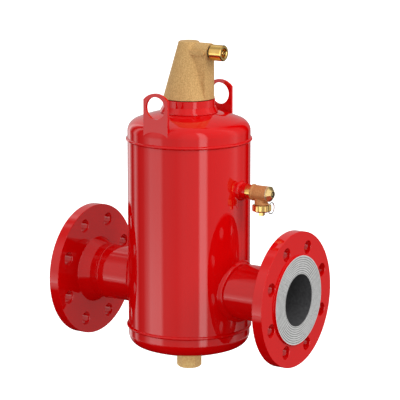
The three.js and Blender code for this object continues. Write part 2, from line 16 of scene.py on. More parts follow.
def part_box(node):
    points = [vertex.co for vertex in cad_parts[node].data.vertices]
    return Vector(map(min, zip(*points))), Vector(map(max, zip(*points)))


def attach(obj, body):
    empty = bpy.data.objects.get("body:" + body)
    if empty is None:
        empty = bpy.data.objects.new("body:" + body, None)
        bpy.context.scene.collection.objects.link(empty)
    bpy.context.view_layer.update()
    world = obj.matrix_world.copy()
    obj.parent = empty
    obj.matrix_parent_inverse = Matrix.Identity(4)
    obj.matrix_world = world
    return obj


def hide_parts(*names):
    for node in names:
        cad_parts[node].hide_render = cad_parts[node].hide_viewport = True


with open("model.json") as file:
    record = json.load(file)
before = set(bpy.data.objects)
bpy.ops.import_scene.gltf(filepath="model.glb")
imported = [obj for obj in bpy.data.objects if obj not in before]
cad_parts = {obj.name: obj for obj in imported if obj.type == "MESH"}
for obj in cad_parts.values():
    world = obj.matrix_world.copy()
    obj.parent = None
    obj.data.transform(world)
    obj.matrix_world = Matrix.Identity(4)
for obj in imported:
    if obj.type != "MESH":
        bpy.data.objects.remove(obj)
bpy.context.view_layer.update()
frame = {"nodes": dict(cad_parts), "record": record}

MM = 0.001
TAU = 2 * math.pi
ROOT = "vessel"


# ------------------------------------------------------------------ sizes read from the frame

class Span:
    """A CAD node's box in millimetres: x0..x1, y0..y1, z0..z1 and the centre."""

    def __init__(self, node):
        low, high = (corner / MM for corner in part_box(node))
        self.x0, self.y0, self.z0 = low
        self.x1, self.y1, self.z1 = high
        self.x, self.y, self.z = (low + high) / 2


SHELL = Span("vessel_shell")
TOP_BEAD = Span("top_girth_weld")
BOTTOM_BEAD = Span("bottom_girth_weld")
FLANGE = Span("outlet_flange")
FLANGE_WELD = Span("outlet_flange_weld")
NOZZLE = Span("outlet_nozzle")
LUG = Span("lifting_lug_back")
NECK = Span("vent_neck")
NECK_WELD = Span("vent_neck_weld")
VENT = Span("vent_body")
OUTLET = Span("vent_outlet")
SOCKET = Span("skim_socket")
COCK = Span("cock_body")
BONNET = Span("cock_bonnet")
SPINDLE = Span("cock_spindle")
CAP = Span("hose_cap")
RING = Span("cap_ring")
PLUG = Span("drain_plug")
DRAIN = Span("drain_socket")

VESSEL_R = SHELL.x1                    # outside radius of the tube
VESSEL_WALL = 6.3
PIPE_R = NOZZLE.z1                     # outside radius of the nozzle pipe
PIPE_BORE = PIPE_R - 2.9
BRANCH_SINK = 1.5                      # how far a branch reaches into the vessel's wall
HEAD_STRAIGHT, HEAD_KNUCKLE, HEAD_CROWN = 10.8, 16.8, 200.0
NECK_BORE = 31.0                       # radius of the top head's opening and the neck's bore
DRAIN_OPENING = 15.0                   # radius of the bottom head's opening
SKIM_BORE = 7.6                        # radius of the skim cock's hole in the vessel
RAISED_R, RAISED_H = 61.0, 3.0
RIM_THICK = 15.0
HUB_R, HUB_END = 46.0, 142.0
BOLT_CIRCLE, BOLT_HOLE, BOLTS = 72.5, 9.0, 8
GROOVES, GROOVE_PITCH, GROOVE_WIDTH, GROOVE_DEPTH = 8, 3.0, 1.0, 0.5

LARGE_SIDES, MEDIUM_SIDES, SMALL_SIDES, TINY_SIDES = 192, 160, 96, 48
CUT = 100                              # length of a cutter that goes right through a wall
FINE_CREASE, SOFT_CREASE = 30, 60      # degrees between faces from which an edge is sharp
CAST_CREASE = 180                      # a cast surface is smooth all over
ON_AXIS = 1e-6                         # a radius below this is on the axis


# ------------------------------------------------------------------ mesh helpers

def link(name, mesh):
    piece = bpy.data.objects.new(name, mesh)
    bpy.context.scene.collection.objects.link(piece)
    return piece


def from_bmesh(name, bm):
    bmesh.ops.remove_doubles(bm, verts=bm.verts, dist=1e-5)
    bmesh.ops.recalc_face_normals(bm, faces=bm.faces)
    mesh = bpy.data.meshes.new(name)
    bm.to_mesh(mesh)
    bm.free()
    return link(name, mesh)


def evaluated(piece):
    """Bakes the piece's modifiers into its mesh."""
    graph = bpy.context.evaluated_depsgraph_get()
    mesh = bpy.data.meshes.new_from_object(piece.evaluated_get(graph))
    piece.modifiers.clear()
    piece.data = mesh
    return piece


def combine(piece, tool, operation):
    """Boolean of two closed pieces; the tool is removed."""
    modifier = piece.modifiers.new("bool", "BOOLEAN")
    modifier.operation = operation
    modifier.solver = "EXACT"
    modifier.object = tool
    evaluated(piece)
    bpy.data.objects.remove(tool)
    return piece


def cut(piece, *tools):
    for tool in tools:
        combine(piece, tool, "DIFFERENCE")
    return piece


def join(piece, *tools):
    for tool in tools:
        combine(piece, tool, "UNION")
    return piece


def bevelled(piece, width, segments=2, angle=30):
    modifier = piece.modifiers.new("bevel", "BEVEL")
    modifier.width = width
    modifier.segments = segments
    modifier.limit_method = "ANGLE"
    modifier.angle_limit = math.radians(angle)
    modifier.harden_normals = False
    return evaluated(piece)


def cast(piece, voxel, smoothing, roughness):
    """Remeshes a solid and rounds its corners, as a casting's are, with a faint sand texture."""
    remesh = piece.modifiers.new("remesh", "REMESH")
    remesh.mode = "VOXEL"
    remesh.voxel_size = voxel
    smooth = piece.modifiers.new("smooth", "SMOOTH")
    smooth.factor = 0.5
    smooth.iterations = smoothing
    evaluated(piece)
    grain = 0.9
    normals = [vertex.normal.copy() for vertex in piece.data.vertices]
    for vertex, normal in zip(piece.data.vertices, normals):
        vertex.co += normal * roughness * noise.noise(vertex.co * grain)
    return piece


def moved(piece, offset=(0, 0, 0), turn=None):
    """Moves the piece's mesh in millimetres, after an optional (axis, degrees) turn."""
    matrix = Matrix.Translation(offset)
    if turn:
        axis, degrees = turn
        matrix = matrix @ Matrix.Rotation(math.radians(degrees), 4, axis)
    piece.data.transform(matrix)
    return piece


def along_x(piece, offset=(0, 0, 0)):
    return moved(piece, offset, ("Y", 90))


def rounded(points, radius, steps=4):
    """A closed outline with each corner turned into an arc of that radius.

    A point is (a, b), or (a, b, radius) where its corner has a radius of its own.
    """
    nearly_straight, most_of_a_side = math.radians(175), 0.48
    count = len(points)
    result = []
    for i, point in enumerate(points):
        here = Vector(point[:2])
        wanted = point[2] if len(point) > 2 else radius
        before = Vector(points[i - 1][:2]) - here
        after = Vector(points[(i + 1) % count][:2]) - here
        angle = before.angle(after)
        if here.x < ON_AXIS or wanted <= 0 or angle > nearly_straight:
            result.append(tuple(here))
            continue
        reach = wanted / math.tan(angle / 2)
        reach = min(reach, most_of_a_side * before.length, most_of_a_side * after.length)
        actual = reach * math.tan(angle / 2)
        start = here + before.normalized() * reach
        end = here + after.normalized() * reach
        middle = (before.normalized() + after.normalized()).normalized()
        centre = here + middle * (actual / math.sin(angle / 2))
        first = start - centre
        turn = first.angle_signed(end - centre)
        for step in range(steps + 1):
            share = step / steps
            result.append(tuple(centre + Matrix.Rotation(-turn * share, 2) @ first))
    return result


def lathe(name, outline, segments=MEDIUM_SIDES, radius=0.0):
    """A turned piece about Z from a closed outline of (r, z) points, or one ending on the axis."""
    points = rounded(outline, radius) if radius else [tuple(p[:2]) for p in outline]
    bm = bmesh.new()
    rings = []
    for r, z in points:
        if r < ON_AXIS:
            rings.append([bm.verts.new((0, 0, z))] * segments)
            continue
        rings.append([
            bm.verts.new((r * math.cos(TAU * i / segments), r * math.sin(TAU * i / segments), z))
            for i in range(segments)
        ])
    for j, ring in enumerate(rings):
        other = rings[(j + 1) % len(rings)]
        if ring[0] is ring[1] and other[0] is other[1]:
            continue
        for i in range(segments):
            k = (i + 1) % segments
            corners = list(dict.fromkeys([ring[i], ring[k], other[k], other[i]]))
            if len(corners) > 2:
                bm.faces.new(corners)
    return from_bmesh(name, bm)


def rod(name, radius, low, high, segments=64):
    return lathe(name, [(0, low), (radius, low), (radius, high), (0, high)], segments)


def turned_ring(name, inner, outer, low, high, segments, radius=0.0):
    """A washer or a short tube; a disc where the inner radius is 0."""
    outline = [(inner, low), (outer, low), (outer, high), (inner, high)]
    return lathe(name, outline, segments, radius)


def extruded(name, outline, low, high):
    """A prism of a closed (x, y) outline between two heights."""
    bm = bmesh.new()
    bottom = bm.faces.new([bm.verts.new((x, y, low)) for x, y in outline])
    top = bmesh.ops.extrude_face_region(bm, geom=[bottom])["geom"]
    bmesh.ops.translate(bm, verts=[v for v in top if isinstance(v, bmesh.types.BMVert)],
                        vec=(0, 0, high - low))
    return from_bmesh(name, bm)


def block(name, xs, ys, zs):
    outline = [(xs[0], ys[0]), (xs[1], ys[0]), (xs[1], ys[1]), (xs[0], ys[1])]
    return extruded(name, outline, *zs)


def swept(name, sections, closed_path=True):
    """A tube of closed cross-sections, each a list of the same number of points."""
    bm = bmesh.new()
    rings = [[bm.verts.new(point) for point in section] for section in sections]
    size = len(rings[0])
    count = len(rings) if closed_path else len(rings) - 1
    for i in range(count):
        ring, other = rings[i], rings[(i + 1) % len(rings)]
        for j in range(size):
            k = (j + 1) % size
            bm.faces.new([ring[j], ring[k], other[k], other[j]])
    if not closed_path:
        bm.faces.new(rings[0])
        bm.faces.new(rings[-1])
    return from_bmesh(name, bm)


def arc(centre, radius, start, end, steps):
    """Points on an arc in a plane, angles in degrees."""
    angles = [math.radians(start + (end - start) * i / steps) for i in range(steps + 1)]
    return [(centre[0] + radius * math.cos(a), centre[1] + radius * math.sin(a)) for a in angles]


def keep_flats_flat(piece):
    """Shades each vertex by its largest faces, so small rounded edges stay narrow."""
    modifier = piece.modifiers.new("weighted", "WEIGHTED_NORMAL")
    modifier.keep_sharp = True
    evaluated(piece)


def shown(piece, body, nodes, materials, crease=35):
    """Gives a finished piece its scale, shading, materials and body, and hides its CAD nodes."""
    piece.data.transform(Matrix.Scale(MM, 4))
    piece.data.shade_smooth()
    piece.data.set_sharp_from_angle(angle=math.radians(crease))
    if crease < CAST_CREASE:
        keep_flats_flat(piece)
    piece.data.materials.clear()
    for material in materials:
        piece.data.materials.append(material)
    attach(piece, body)
    if nodes:
        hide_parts(*nodes)


# ------------------------------------------------------------------ materials

def node_tree(name):
    material = bpy.data.materials.new(name)
    material.use_nodes = True
    tree = material.node_tree
    shader = tree.nodes["Principled BSDF"]
    place = tree.nodes.new("ShaderNodeTexCoord")
    return material, tree, shader, place.outputs["Object"]


def noise_at(tree, place, scale, detail=4.0, roughness=0.55):
    texture = tree.nodes.new("ShaderNodeTexNoise")
    texture.inputs["Scale"].default_value = scale
    texture.inputs["Detail"].default_value = detail
    texture.inputs["Roughness"].default_value = roughness
    tree.links.new(place, texture.inputs["Vector"])
    return texture.outputs["Fac"]


def ramp(tree, value, stops):
    """A colour ramp over (position, colour) stops; a grey colour is given as one number."""
    node = tree.nodes.new("ShaderNodeValToRGB")
    while len(node.color_ramp.elements) < len(stops):
        node.color_ramp.elements.new(0.5)
    for element, (position, colour) in zip(node.color_ramp.elements, stops):
        element.position = position
        rgb = (colour,) * 3 if isinstance(colour, (int, float)) else colour
        element.color = (*rgb, 1.0)
    tree.links.new(value, node.inputs["Fac"])
    return node.outputs["Color"]


def bump(tree, shader, height, strength, distance, below=None):
    node = tree.nodes.new("ShaderNodeBump")
    node.inputs["Strength"].default_value = strength
    node.inputs["Distance"].default_value = distance
    tree.links.new(height, node.inputs["Height"])
    if below is not None:
        tree.links.new(below, node.inputs["Normal"])
    tree.links.new(node.outputs["Normal"], shader.inputs["Normal"])
    return node.outputs["Normal"]


def red_enamel():
    """Glossy enamel: an even red under a mirror skin with the faintest orange peel."""
    material, tree, shader, place = node_tree("red_enamel")
    shade = ramp(tree, noise_at(tree, place, 9.0, 2.0), [
        (0.3, (0.585, 0.0006, 0.0009)), (0.7, (0.620, 0.0009, 0.0014))])
    tree.links.new(shade, shader.inputs["Base Color"])
    gloss = ramp(tree, noise_at(tree, place, 60.0, 3.0), [(0.3, 0.02), (0.7, 0.035)])
    tree.links.new(gloss, shader.inputs["Roughness"])
    bump(tree, shader, noise_at(tree, place, 260.0, 2.0), 0.02, 0.0001)
    return material


def sand_cast(name, dark, mid, light, roughness, metallic, grain):
    """Rough cast metal: sandy grain in colour, gloss and relief."""
    material, tree, shader, place = node_tree(name)
    fine = noise_at(tree, place, grain, 5.0, 0.7)
    shade = ramp(tree, fine, [(0.34, dark), (0.5, mid), (0.66, light)])
    tree.links.new(shade, shader.inputs["Base Color"])
    gloss = ramp(tree, noise_at(tree, place, grain * 0.7, 3.0),
                 [(0.35, roughness - 0.08), (0.65, roughness + 0.08)])
    tree.links.new(gloss, shader.inputs["Roughness"])
    shader.inputs["Metallic"].default_value = metallic
    coarse = bump(tree, shader, noise_at(tree, place, grain * 0.35, 3.0), 0.4, 0.0005)
    bump(tree, shader, fine, 0.75, 0.0004, coarse)
    return material


def turned_metal(name, dark, light, roughness, axis, scale=2600.0, metallic=1.0):
    """Polished or turned metal with fine tool lines round the given axis."""
    material, tree, shader, place = node_tree(name)
    stretch = tree.nodes.new("ShaderNodeMapping")
    stretch.inputs["Scale"].default_value = [1.0 if a == axis else 0.04 for a in "XYZ"]
    tree.links.new(place, stretch.inputs["Vector"])
    lines = noise_at(tree, stretch.outputs["Vector"], scale, 2.0)
    shade = ramp(tree, noise_at(tree, place, 150.0, 3.0), [(0.3, dark), (0.7, light)])
    tree.links.new(shade, shader.inputs["Base Color"])
    gloss = ramp(tree, lines, [(0.3, roughness), (0.7, roughness + 0.08)])
    tree.links.new(gloss, shader.inputs["Roughness"])
    shader.inputs["Metallic"].default_value = metallic
    bump(tree, shader, lines, 0.06, 0.0001)
    return material


def plain_grain(name, dark, light, roughness, metallic=0.0, scale=700.0):
    """A soft or moulded finish with a fine grain, for rubber, plastic and fibre."""
    material, tree, shader, place = node_tree(name)
    grain = noise_at(tree, place, scale, 4.0)
    tree.links.new(ramp(tree, grain, [(0.3, dark), (0.7, light)]), shader.inputs["Base Color"])
    gloss = ramp(tree, grain, [(0.3, roughness), (0.7, roughness + 0.1)])
    tree.links.new(gloss, shader.inputs["Roughness"])
    shader.inputs["Metallic"].default_value = metallic
    bump(tree, shader, grain, 0.2, 0.0002)
    return material


RED = red_enamel()
CAST_BRASS = sand_cast("cast_brass", (0.50, 0.285, 0.095), (0.62, 0.375, 0.140),
                       (0.76, 0.50, 0.21), 0.6, 0.35, 640.0)
BRONZE = sand_cast("cast_bronze", (0.46, 0.175, 0.052), (0.60, 0.255, 0.085),
                   (0.72, 0.34, 0.130), 0.5, 0.4, 700.0)
# A lighter, less metallic copy of the cast brass for the drain plug: painted light on the plug at
# the vessel's foot.
LIT_CAST_BRASS = sand_cast("cast_brass_painted_light", (0.80, 0.50, 0.17), (0.93, 0.63, 0.24),
                      (1.0, 0.76, 0.31), 0.6, 0.1, 480.0)
BRASS_X = turned_metal("turned_brass_x", (0.80, 0.48, 0.13), (0.90, 0.60, 0.20), 0.15, "X")
BRASS_END = turned_metal("turned_brass_end", (0.80, 0.56, 0.22), (0.90, 0.66, 0.30), 0.32, "X")
BRASS_Z = turned_metal("turned_brass_z", (0.80, 0.50, 0.16), (0.90, 0.61, 0.23), 0.18, "Z")
STAINLESS = turned_metal("stainless", (0.66, 0.67, 0.68), (0.78, 0.79, 0.80), 0.24, "Z", 900.0)
SEAL_FACE = turned_metal("sealing_face", (0.60, 0.60, 0.59), (0.70, 0.70, 0.69), 0.38, "X",
                         metallic=0.3)
# Painted shade: a darker grey for the floors of the raised face's grooves.
GROOVE = turned_metal("groove_painted_shade", (0.22, 0.22, 0.22), (0.32, 0.32, 0.32), 0.5, "X",
                      metallic=0.3)
# Unpainted steel darkened with painted shade, for the insides of bores and of the cock's bonnet and
# spindle.
BORE_SHADE = plain_grain("bore_painted_shade", (0.072, 0.072, 0.075), (0.116, 0.116, 0.120), 0.45, 0.3, 300.0)
RUBBER = plain_grain("rubber", (0.010, 0.010, 0.010), (0.022, 0.022, 0.023), 0.7)
FIBRE = plain_grain("fibre", (0.52, 0.47, 0.40), (0.70, 0.66, 0.60), 0.7)
FLOAT_PLASTIC = plain_grain("float_plastic", (0.72, 0.69, 0.60), (0.80, 0.77, 0.70), 0.4)


# ------------------------------------------------------------------ vessel

def head_curve(inset, opening, steps=24):
    """The dished head's outline from the rim to an opening, inset from the outer face."""
    centre = VESSEL_R - HEAD_KNUCKLE
    tangent = math.asin(centre / (HEAD_CROWN - HEAD_KNUCKLE))
    crown_z = HEAD_STRAIGHT - (HEAD_CROWN - HEAD_KNUCKLE) * math.cos(tangent)
    knuckle = arc((centre, HEAD_STRAIGHT), HEAD_KNUCKLE - inset, 0,
                  90 - math.degrees(tangent), steps)
    crown = HEAD_CROWN - inset
    last = math.asin(opening / crown)
    angles = [tangent + (last - tangent) * i / steps for i in range(1, steps + 1)]
    return [(VESSEL_R - inset, 0)] + knuckle + [
        (crown * math.sin(a), crown_z + crown * math.cos(a)) for a in angles]


def dished_head(name, opening):
    outline = head_curve(0, opening) + head_curve(VESSEL_WALL, opening)[::-1]
    return lathe(name, outline, LARGE_SIDES)


def vessel_shell():
    rows, lap = 60, 2                      # the tube reaches 2 mm under each girth bead
    low, high = SHELL.z0 - lap, SHELL.z1 + lap
    heights = [low + (high - low) * i / rows for i in range(rows + 1)]
    inner = VESSEL_R - VESSEL_WALL
    outline = [(VESSEL_R, z) for z in heights] + [(inner, z) for z in reversed(heights)]
    shell = lathe("vessel_shell_fine", outline, LARGE_SIDES)
    waterway = along_x(rod("cutter", PIPE_BORE, -CUT, CUT, SMALL_SIDES))
    skim = along_x(rod("cutter", SKIM_BORE, 0, CUT, TINY_SIDES), (0, 0, SOCKET.z))
    shown(cut(shell, waterway, skim), ROOT, ["vessel_shell"], [RED])


def vessel_heads():
    top = moved(dished_head("top_head_fine", NECK_BORE), (0, 0, TOP_BEAD.z))
    shown(top, ROOT, ["top_head"], [RED])
    bottom = dished_head("bottom_head_fine", DRAIN_OPENING)
    moved(bottom, (0, 0, BOTTOM_BEAD.z), ("X", 180))
    shown(bottom, ROOT, ["bottom_head"], [RED])


def girth_bead(node, bead):
    """A butt weld's bead with a barely uneven run, as a machine weld leaves it."""
    proud, half = bead.x1 - VESSEL_R, (bead.z1 - bead.z0) / 2
    root, sink = VESSEL_R - 3, 0.3         # inner radius, and how deep the crown's arc starts
    unevenness, waves, fill = 0.035, 9, 0.96
    steps, crown_steps = 240, 14
    crown = [math.radians(90 - 180 * k / crown_steps) for k in range(crown_steps + 1)]
    sections = []
    for i in range(steps):
        angle = TAU * i / steps
        where = (waves * math.cos(angle), waves * math.sin(angle), bead.z)
        rise = proud * (1 + unevenness * noise.noise(where)) * fill + sink
        section = [(root, -half), (root, half)]
        section += [(VESSEL_R - sink + rise * math.cos(a), half * math.sin(a)) for a in crown]
        sections.append([(r * math.cos(angle), r * math.sin(angle), bead.z + z)
                         for r, z in section])
    shown(swept(node + "_fine", sections), ROOT, [node], [RED], SOFT_CREASE)


def on_shell(radius, angle):
    """The point of the vessel's outside at that radius and angle round an X-wise branch."""
    y, z = radius * math.cos(angle), radius * math.sin(angle)
    return math.sqrt(VESSEL_R ** 2 - y * y), y, z


def saddle_weld(name, node, radius, leg, height, side=1):
    """The fillet weld where a branch pipe meets the vessel."""
    steps, curve_steps, fullness = 160, 8, 0.22
    sections = []
    for i in range(steps):
        angle = TAU * i / steps
        root = Vector(on_shell(radius - 1.0, angle)) - Vector((BRANCH_SINK, 0, 0))
        foot = Vector(on_shell(radius + leg, angle))
        rise = Vector(on_shell(radius, angle)) + Vector((leg, 0, 0))
        outward = Vector((1, *Vector(foot[1:]).normalized()))
        control = (foot + rise) / 2 + outward * (2 * fullness * leg)
        points = [root]
        for k in range(curve_steps + 1):
            t = k / curve_steps
            points.append(foot * (1 - t) ** 2 + control * (2 * t * (1 - t)) + rise * t * t)
        sections.append([(side * p.x, side * p.y, p.z + height) for p in points])
    shown(swept(name, sections), ROOT, [node], [RED], SOFT_CREASE)


def saddle_tube(name, outer, inner, end, height, side=1):
    """A branch pipe from the vessel's curved outside to a square end."""
    steps, rows = 128, 12
    sections = []
    for i in range(steps):
        angle = TAU * i / steps
        points = []
        for radius in (outer, inner):
            x, y, z = on_shell(radius, angle)
            start = x - BRANCH_SINK
            run = [start + (end - start) * k / rows for k in range(rows + 1)]
            run = run if radius == outer else run[::-1]
            points += [(side * px, side * y, z + height) for px in run]
        sections.append(points)
    return swept(name, sections)


def shaded_pipe_bore(piece):
    """Second material, unpainted steel darkened with painted shade, on the faces that lie inside the
    nozzle pipe's bore.
    """
    for face in piece.data.polygons:
        if math.hypot(face.center.y, face.center.z) < (PIPE_BORE + 0.4) * MM:
            face.material_index = 1


def face_grooves(face):
    """The raised face's concentric grooves, as outline points from the outside in."""
    first, slope = RAISED_R - 2.4, 0.15
    points = []
    for i in range(GROOVES):
        outer = first - GROOVE_PITCH * i
        inner = outer - GROOVE_WIDTH
        points += [(outer, face, 0), (outer - slope, face - GROOVE_DEPTH, 0),
                   (inner + slope, face - GROOVE_DEPTH, 0), (inner, face, 0)]
    return points


def bolt_hole(back, shoulder):
    """The cutter for one bolt hole, with a small chamfer at both ends."""
    chamfer, clear = 0.5, 2
    mouth = BOLT_HOLE + chamfer + clear
    return lathe("cutter", [
        (0, back - clear), (mouth, back - clear), (BOLT_HOLE, back + chamfer),
        (BOLT_HOLE, shoulder - chamfer), (mouth, shoulder + clear), (0, shoulder + clear),
    ], TINY_SIDES)


def bare_face_shaded_bore_and_grooves(piece, face):
    """Unpainted metal on its raised face; painted shade in the flange's bore and, as a grey darker
    than the face, down the grooves.
    """
    raised, shaded_bore, shaded_groove = 1, 2, 3   # the flange's material slots after the paint
    for polygon in piece.data.polygons:
        radius = math.hypot(polygon.center.y, polygon.center.z) / MM
        depth = face - abs(polygon.center.x) / MM
        if radius < PIPE_BORE + 0.5:
            polygon.material_index = shaded_bore
        elif radius < RAISED_R - 0.5 and depth < 0.8:
            polygon.material_index = raised if depth < 0.05 else shaded_groove


def flange(side, name):
    """Weld-neck flange with chamfered bolt holes and a grooved raised face."""
    face = FLANGE.x1
    shoulder = face - RAISED_H
    back = shoulder - RIM_THICK
    outline = [
        (PIPE_BORE, FLANGE.x0, 0.3), (PIPE_R, FLANGE.x0, 0.3), (PIPE_R, HUB_END, 0.6),
        (HUB_R, back, 1.5), (FLANGE.z1, back, 0.8), (FLANGE.z1, shoulder, 0.8),
        (RAISED_R, shoulder, 0.6), (RAISED_R, face, 0.4),
    ] + face_grooves(face) + [(PIPE_BORE, face, 0.8)]
    piece = along_x(lathe(name + "_fine", outline, LARGE_SIDES, 0.4))
    for i in range(BOLTS):
        angle = TAU * (i + 0.5) / BOLTS
        offset = (0, BOLT_CIRCLE * math.cos(angle), BOLT_CIRCLE * math.sin(angle))
        cut(piece, along_x(bolt_hole(back, shoulder), offset))
    if side < 0:
        moved(piece, turn=("Z", 180))
    shown(piece, ROOT, [name], [RED, SEAL_FACE, BORE_SHADE, GROOVE], FINE_CREASE)
    # Painted shade in the flange's bore and down its grooves.
    bare_face_shaded_bore_and_grooves(piece, face)


def pipe_weld(side, weld):
    """The slim bead of the butt weld between the pipe and the flange's hub."""
    proud, inset, root, steps = 0.9, 0.6, PIPE_R - 1, 12
    middle, half = FLANGE_WELD.x, (FLANGE_WELD.x1 - FLANGE_WELD.x0) / 2 - inset
    angles = [math.radians(-90 + 180 * k / steps) for k in range(steps + 1)]
    crown = [(PIPE_R + proud * math.cos(a), middle + half * math.sin(a)) for a in angles]
    outline = [(root, middle - half)] + crown + [(root, middle + half)]
    bead = along_x(lathe(weld + "_fine", outline))
    if side < 0:
        moved(bead, turn=("Z", 180))
    shown(bead, ROOT, [weld], [RED], SOFT_CREASE)


def connection(side, label):
    """The pipe, its two welds and its flange on one side of the vessel."""
    name, gap = f"{label}_nozzle", 0.1
    pipe = saddle_tube(name + "_fine", PIPE_R, PIPE_BORE, FLANGE.x0 - gap, 0, side)
    shown(pipe, ROOT, [name], [RED, BORE_SHADE])
    # Painted shade inside the pipe's bore.
    shaded_pipe_bore(pipe)
    saddle_weld(f"{label}_nozzle_weld_fine", f"{label}_nozzle_weld", PIPE_R, 4.8, 0, side)
    pipe_weld(side, f"{label}_flange_weld")
    flange(side, f"{label}_flange")


def lifting_lug(node, side):
    """A flat eye plate whose foot sinks into the head."""
    end_r, eye_r, eye_z, thick = 25.5, 15.0, 255.4, 4.0
    half = LUG.x1
    corner = math.degrees(math.acos(half / end_r))
    outline = [(-half, LUG.z0), (half, LUG.z0)]
    outline += arc((0, LUG.z1 - end_r), end_r, corner, 180 - corner, 40)
    plate = extruded(node + "_fine", outline, -thick / 2, thick / 2)
    cut(plate, moved(rod("cutter", eye_r, -thick, thick, SMALL_SIDES), (0, eye_z, 0)))
    bevelled(plate, 0.5, 3)
    moved(plate, (0, side * LUG.y, 0), ("X", 90))
    shown(plate, ROOT, [node], [RED], 40)


def vent_neck():
    r, low, high = NECK.x1, NECK.z0, NECK.z1
    outline = [(NECK_BORE, low), (r, low), (r, high, 0.8), (NECK_BORE, high, 0.8)]
    neck = lathe("vent_neck_fine", outline, radius=0.2)
    shown(neck, ROOT, ["vent_neck"], [RED])
    foot, foot_r, top = NECK_WELD.z0, NECK_WELD.x1, NECK_WELD.z1 + 1.2
    fillet = lathe("vent_neck_weld_fine", [
        (r - 1, foot - 1), (foot_r, foot + 0.1), (foot_r - 0.5, foot + 1.8), (r + 0.1, top),
        (r - 0.6, top + 0.2)], radius=0.5)
    shown(fillet, ROOT, ["vent_neck_weld"], [RED])


# ------------------------------------------------------------------ air vent

VENT_BASE = NECK.z1                    # top face of the neck
VENT_FOOT = VENT_BASE + 1.1            # underside of the cone, above its seal
VENT_R, VENT_TOP_R = VENT.x1, 13.75
VENT_TOP = VENT.z1
VENT_WALL = 3.5
BOSS_Z, BOSS_R, BOSS_END = OUTLET.z, 12.2, 35.0
SLAB = 12.0                            # half width of the pillar
FAR = 40.0                             # past the end of the boss
OUTLET_BORE = 6.3                      # radius of the hole that takes the outlet fitting
SEAT_X, SEAT_R = 13.0, 4.3             # the valve seat's hole
SCREW_X, SCREW_R = 26.0, 1.9           # the bracket screw's hole
PASSAGE = 1.25                         # radius of the air passage through the fittings


def vent_radius(z):
    return VENT_R + (VENT_TOP_R - VENT_R) * (z - VENT_BASE) / (VENT_TOP - VENT_BASE)


def vent_solid():
    """The cone with its shank, its pillar and its round boss, still solid."""
    shank, edge = NECK.x1 - 4.9, VENT_TOP - 1.3
    body = lathe("vent_body_fine", [
        (0, VENT.z0), (shank, VENT.z0), (shank, VENT_FOOT), (VENT_R, VENT_FOOT),
        (vent_radius(edge), edge), (VENT_TOP_R - 1.0, VENT_TOP - 0.4),
        (0.6 * VENT_TOP_R, VENT_TOP), (0, VENT_TOP)])
    pillar = block("pillar", (0, FAR), (-SLAB, SLAB), (VENT_FOOT, BOSS_Z))
    limit = rod("round", VENT_R, VENT_FOOT - 1, BOSS_Z + 20, MEDIUM_SIDES)
    combine(pillar, limit, "INTERSECT")
    boss = along_x(rod("boss", BOSS_R, 0, BOSS_END, SMALL_SIDES), (0, 0, BOSS_Z))
    return join(body, pillar, boss)


def vent_chamber():
    """The hollow inside the cone, which ends below the boss on the pillar's side."""
    top, skirt_r, skirt_top = BOSS_Z + 6, 27.5, VENT_BASE + 15
    chamber = lathe("inside", [
        (0, VENT.z0 - 5), (skirt_r, VENT.z0 - 5), (skirt_r, skirt_top),
        (vent_radius(top) - VENT_WALL, top), (0, top)], SMALL_SIDES)
    roof = block("roof", (5, FAR), (-SLAB - 4, SLAB + 4), (BOSS_Z - BOSS_R, VENT_TOP + 5))
    return cut(chamber, roof)


def vent_body():
    """The hollow casting, with the holes for the valve seat, the screw and the outlet."""
    body = vent_solid()
    inner = SLAB - VENT_WALL
    pocket = block("pocket", (0, VENT_R - VENT_WALL), (-inner, inner),
                   (VENT_BASE + 10, BOSS_Z - BOSS_R))
    seat_hole = moved(rod("seat_hole", SEAT_R, -20, -3, 32), (SEAT_X, 0, BOSS_Z))
    screw_hole = moved(rod("screw_hole", SCREW_R, -20, -7.5, 24), (SCREW_X, 0, BOSS_Z))
    outlet_hole = along_x(rod("outlet_hole", OUTLET_BORE, 24, FAR, TINY_SIDES), (0, 0, BOSS_Z))
    cut(body, vent_chamber(), pocket, seat_hole, screw_hole, outlet_hole)
    cast(body, 0.4, 1, 0.10)
    shown(body, ROOT, ["vent_body"], [CAST_BRASS], CAST_CREASE)


def vent_pad():
    """The raised pad with a round end on the side of the pillar."""
    start, end, half, sink, proud = 7.0, 29.5, 3.3, 3.2, 2.8
    outline = [(start, -half), (end, -half)] + arc((end, 0), half, -80, 80, 16) + [(start, half)]
    pad = extruded("vent_pad_fine", outline, 0, sink + proud)
    bevelled(pad, 0.3, 2)
    moved(pad, (0, sink - SLAB, BOSS_Z - 0.7), ("X", 90))
    shown(pad, ROOT, [], [CAST_BRASS], 40)


